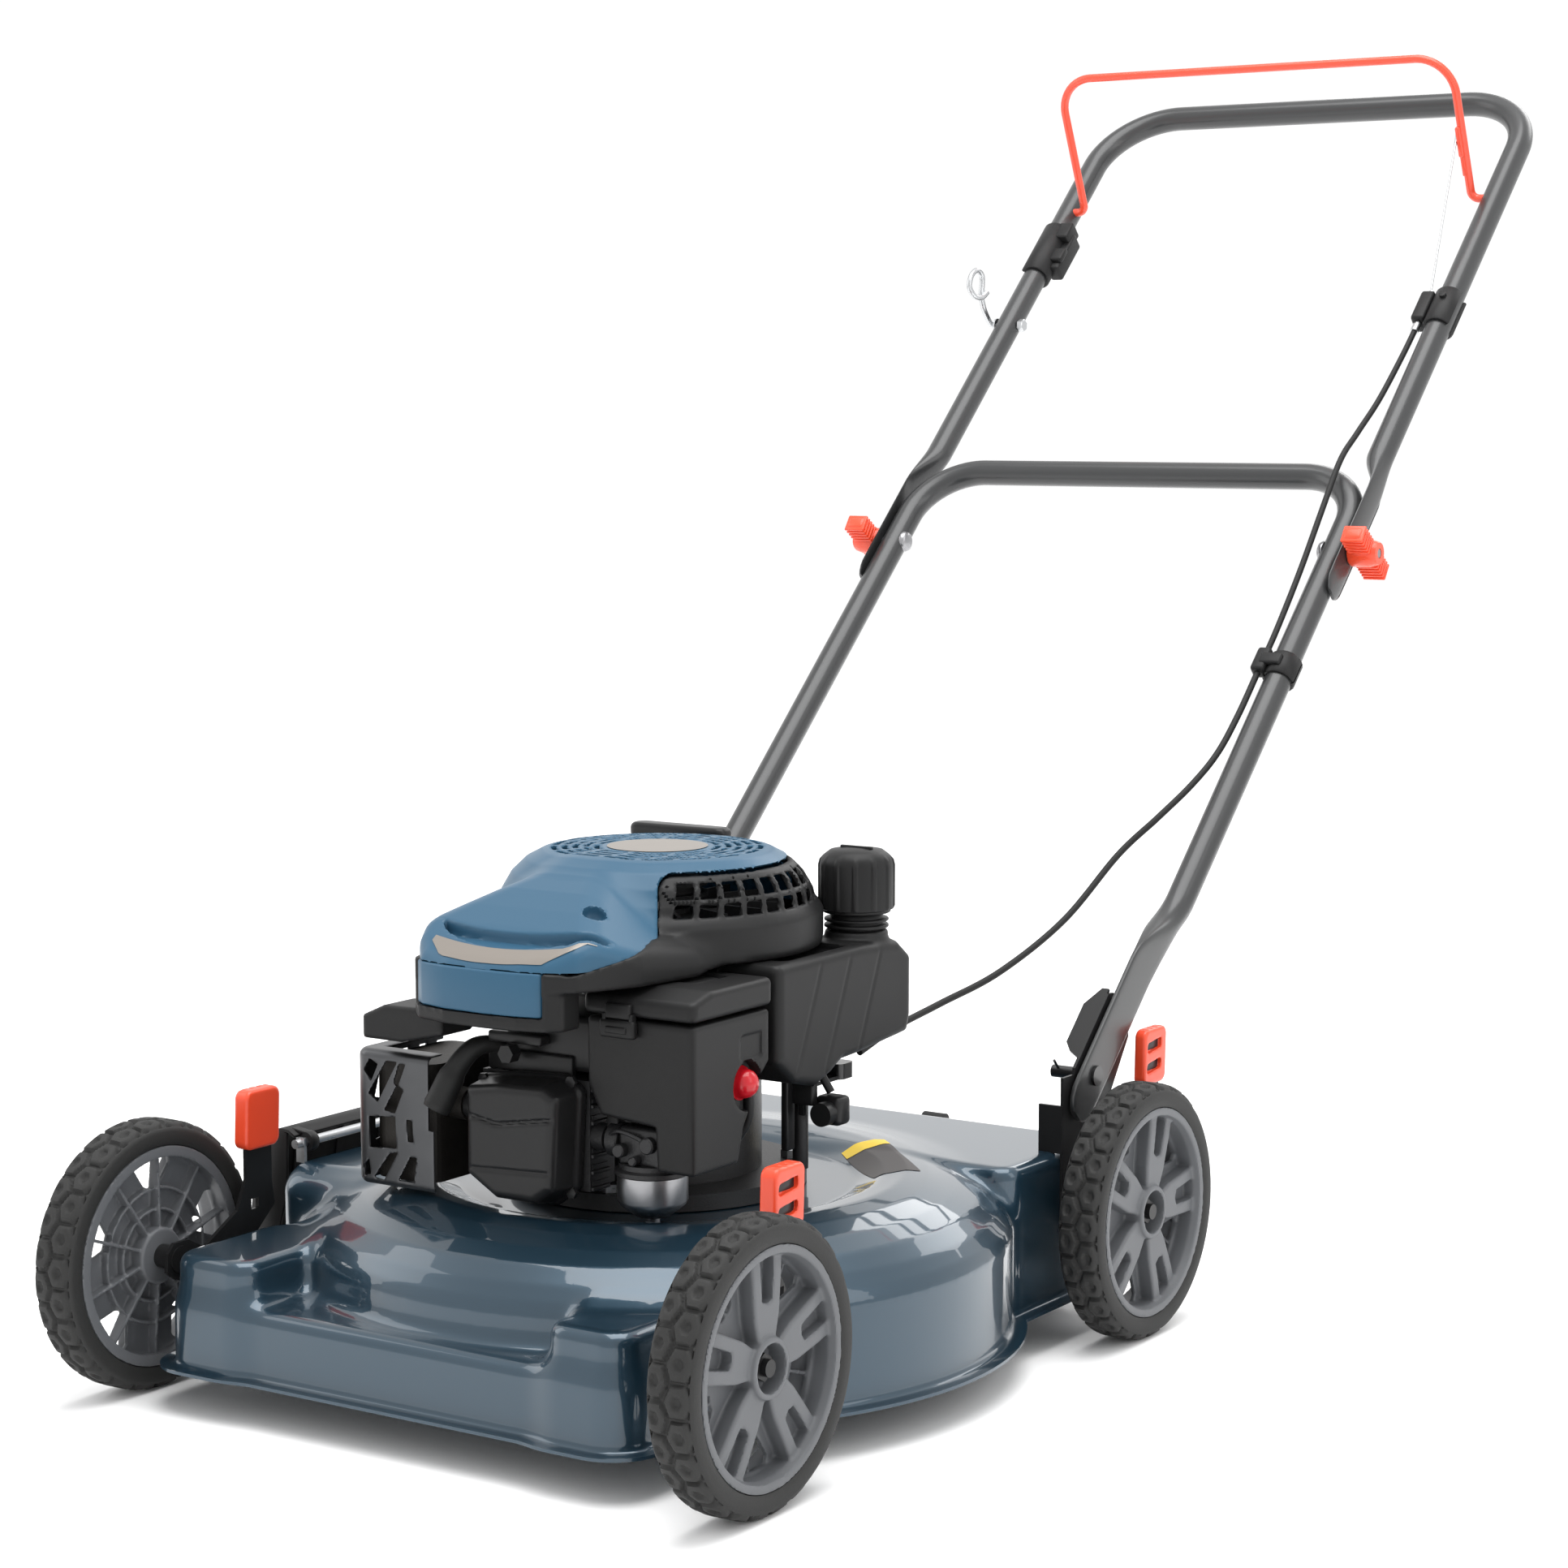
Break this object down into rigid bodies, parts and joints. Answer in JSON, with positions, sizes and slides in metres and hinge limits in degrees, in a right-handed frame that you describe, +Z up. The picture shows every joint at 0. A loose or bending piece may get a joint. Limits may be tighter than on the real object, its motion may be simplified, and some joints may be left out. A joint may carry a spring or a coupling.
{
  "type": "rotary_push_mower",
  "caption": "Petrol rotary push mower: round pressed deck with side discharge, vertical-shaft engine, height levers at each wheel and a folding tube handle with a bail.",
  "frame": {"origin": "on the ground under the middle of the machine's box", "axes": "+X to the operator's left, +Y back to the operator, +Z up; the front faces -Y"},
  "size_m": [0.5908, 1.5489, 1.054],
  "materials": {
    "deck_paint": "gloss",
    "cover_blue": "satin",
    "black_plastic": "matte",
    "orange_plastic": "satin",
    "wheel_grey": "matte",
    "tread": "matte",
    "handle_paint": "satin",
    "black_steel": "satin",
    "zinc": "satin",
    "cast_alloy": "matte",
    "bright_alloy": "satin",
    "guard_steel": "satin",
    "blade_steel": "satin",
    "primer_red": "satin",
    "black_rubber": "matte",
    "rope_fibre": "matte",
    "exhaust": "matte"
  },
  "bodies": {
    "chassis": {"deck": "deck_paint", "handle_brackets": "black_steel", "handle_pins": "black_steel", "hinge_rods": "zinc", "engine_block": "cast_alloy", "cylinder_head": "cast_alloy", "valve_cover": "black_steel", "muffler": "exhaust", "muffler_guard": "guard_steel", "spark_plug": "black_rubber", "blower_housing": "black_plastic", "engine_cover": "cover_blue", "fuel_tank": "black_plastic", "air_filter_box": "black_plastic", "carburetor": "cast_alloy", "carburetor_bowl": "bright_alloy", "engine_bolts": "zinc"},
    "lever_fl_body": {"lever_fl": "black_steel", "grip_fl": "orange_plastic"},
    "wheel_fl_body": {"tyre_fl": "tread", "rim_fl": "wheel_grey"},
    "lever_fr_body": {"lever_fr": "black_steel", "grip_fr": "orange_plastic"},
    "wheel_fr_body": {"tyre_fr": "tread", "rim_fr": "wheel_grey"},
    "lever_rl_body": {"lever_rl": "black_steel", "grip_rl": "orange_plastic"},
    "wheel_rl_body": {"tyre_rl": "tread", "rim_rl": "wheel_grey"},
    "lever_rr_body": {"lever_rr": "black_steel", "grip_rr": "orange_plastic"},
    "wheel_rr_body": {"tyre_rr": "tread", "rim_rr": "wheel_grey"},
    "lower_handle_body": {"lower_handle": "handle_paint", "handle_bolts": "zinc", "cable_clip": "black_plastic", "brake_cable_lower": "black_rubber"},
    "upper_handle_body": {"upper_handle": "handle_paint", "bail_brackets": "black_plastic", "rope_guide": "zinc", "brake_cable_upper": "black_rubber"},
    "bail_body": {"bail": "orange_plastic"},
    "knob_left_body": {"knob_left": "orange_plastic"},
    "knob_right_body": {"knob_right": "orange_plastic"},
    "crank_body": {"crankshaft": "zinc", "flywheel": "cast_alloy", "blade_adapter": "blade_steel", "blade": "blade_steel", "blade_bolt": "zinc"},
    "camshaft_body": {"camshaft": "zinc"},
    "starter_grip_body": {"starter_grip": "black_plastic", "starter_rope": "rope_fibre"},
    "starter_pulley_body": {"starter_pulley": "black_plastic"},
    "piston_body": {"piston": "bright_alloy"},
    "fuel_cap_body": {"fuel_cap": "black_plastic"},
    "primer_body": {"primer_bulb": "primer_red"},
    "filter_cover_body": {"air_filter_cover": "black_plastic"},
    "flap_body": {"discharge_flap": "black_plastic"},
    "shield_body": {"rear_shield": "black_rubber"},
    "brake_lever_body": {"brake_lever": "black_steel"}
  },
  "joints": [
    {"name": "height_fl", "type": "hinge", "parent": "chassis", "child": "lever_fl_body", "pos_m": [0.24, -0.6285, 0.084], "axis": [1, 0, 0], "range_deg": [0, 45]},
    {"name": "spin_fl", "type": "hinge", "parent": "lever_fl_body", "child": "wheel_fl_body", "pos_m": [0.271, -0.6745, 0.1], "axis": [1, 0, 0], "continuous": true},
    {"name": "height_fr", "type": "hinge", "parent": "chassis", "child": "lever_fr_body", "pos_m": [-0.24, -0.6285, 0.084], "axis": [1, 0, 0], "range_deg": [0, 45]},
    {"name": "spin_fr", "type": "hinge", "parent": "lever_fr_body", "child": "wheel_fr_body", "pos_m": [-0.271, -0.6745, 0.1], "axis": [1, 0, 0], "continuous": true},
    {"name": "height_rl", "type": "hinge", "parent": "chassis", "child": "lever_rl_body", "pos_m": [0.248, -0.1019, 0.084], "axis": [1, 0, 0], "range_deg": [0, 45]},
    {"name": "spin_rl", "type": "hinge", "parent": "lever_rl_body", "child": "wheel_rl_body", "pos_m": [0.2774, -0.1479, 0.1], "axis": [1, 0, 0], "continuous": true},
    {"name": "height_rr", "type": "hinge", "parent": "chassis", "child": "lever_rr_body", "pos_m": [-0.248, -0.1019, 0.084], "axis": [1, 0, 0], "range_deg": [0, 45]},
    {"name": "spin_rr", "type": "hinge", "parent": "lever_rr_body", "child": "wheel_rr_body", "pos_m": [-0.2774, -0.1479, 0.1], "axis": [1, 0, 0], "continuous": true},
    {"name": "lower_fold", "type": "hinge", "parent": "chassis", "child": "lower_handle_body", "pos_m": [0, -0.14746, 0.20198], "axis": [1, 0, 0], "range_deg": [0, 127], "deforming": ["brake_cable_lower"]},
    {"name": "upper_fold", "type": "hinge", "parent": "lower_handle_body", "child": "upper_handle_body", "pos_m": [0, 0.31051, 0.59495], "axis": [-1, 0, 0], "range_deg": [0, 112], "deforming": ["brake_cable_upper"]},
    {"name": "bail_squeeze", "type": "hinge", "parent": "upper_handle_body", "child": "bail_body", "pos_m": [0, 0.6505, 0.92108], "axis": [-1, 0, 0], "range_deg": [0, 65], "stiffness_Nm_per_rad": 0.6, "springref_deg": -20.05},
    {"name": "knob_left_turn", "type": "hinge", "parent": "lower_handle_body", "child": "knob_left_body", "pos_m": [0.24, 0.31051, 0.59495], "axis": [1, 0, 0], "continuous": true},
    {"name": "knob_right_turn", "type": "hinge", "parent": "lower_handle_body", "child": "knob_right_body", "pos_m": [-0.24, 0.31051, 0.59495], "axis": [-1, 0, 0], "continuous": true},
    {"name": "crank_turn", "type": "hinge", "parent": "chassis", "child": "crank_body", "pos_m": [0.01, -0.4145, 0.14], "axis": [0, 0, 1], "continuous": true},
    {"name": "camshaft_turn", "type": "hinge", "parent": "chassis", "child": "camshaft_body", "pos_m": [-0.02818, -0.37632, 0.19], "axis": [0, 0, 1], "continuous": true},
    {"name": "fuel_cap_turn", "type": "hinge", "parent": "chassis", "child": "fuel_cap_body", "pos_m": [0.122, -0.3125, 0.36], "axis": [0, 0, 1], "range_deg": [0, 90]},
    {"name": "starter_pull", "type": "slide", "parent": "chassis", "child": "starter_grip_body", "axis": [-0.1556, 0.87, 0.4679], "range_m": [0, 0.45], "stiffness_N_per_m": 14, "springref_m": -0.5, "deforming": ["starter_rope"]},
    {"name": "starter_pulley_turn", "type": "hinge", "parent": "chassis", "child": "starter_pulley_body", "pos_m": [0.01, -0.4145, 0.365], "axis": [0, 0, 1], "range_deg": [0, 860]},
    {"name": "piston_stroke", "type": "slide", "parent": "chassis", "child": "piston_body", "axis": [0, 1, 0], "range_m": [0, 0.024]},
    {"name": "primer_press", "type": "slide", "parent": "chassis", "child": "primer_body", "axis": [-1, 0, 0], "range_m": [0, 0.003], "stiffness_N_per_m": 250},
    {"name": "filter_cover_off", "type": "slide", "parent": "chassis", "child": "filter_cover_body", "axis": [1, 0, 0], "range_m": [0, 0.06]},
    {"name": "flap_lift", "type": "hinge", "parent": "chassis", "child": "flap_body", "pos_m": [-0.232, -0.4145, 0.164], "axis": [0, 1, 0], "range_deg": [0, 75], "stiffness_Nm_per_rad": 0.3, "springref_deg": -34.38},
    {"name": "shield_swing", "type": "hinge", "parent": "chassis", "child": "shield_body", "pos_m": [0, -0.1085, 0.14], "axis": [1, 0, 0], "range_deg": [0, 60]},
    {"name": "brake_lever_turn", "type": "hinge", "parent": "chassis", "child": "brake_lever_body", "pos_m": [0.106, -0.3655, 0.212], "axis": [0, 0, 1], "range_deg": [0, 20]}
  ],
  "couplings": [
    {"joint": "camshaft_turn", "follows": "crank_turn", "ratio": -0.5},
    {"joint": "starter_pulley_turn", "follows": "starter_pull", "rad_per_m": 33.333},
    {"joint": "brake_lever_turn", "follows": "bail_squeeze", "ratio": 0.3}
  ]
}
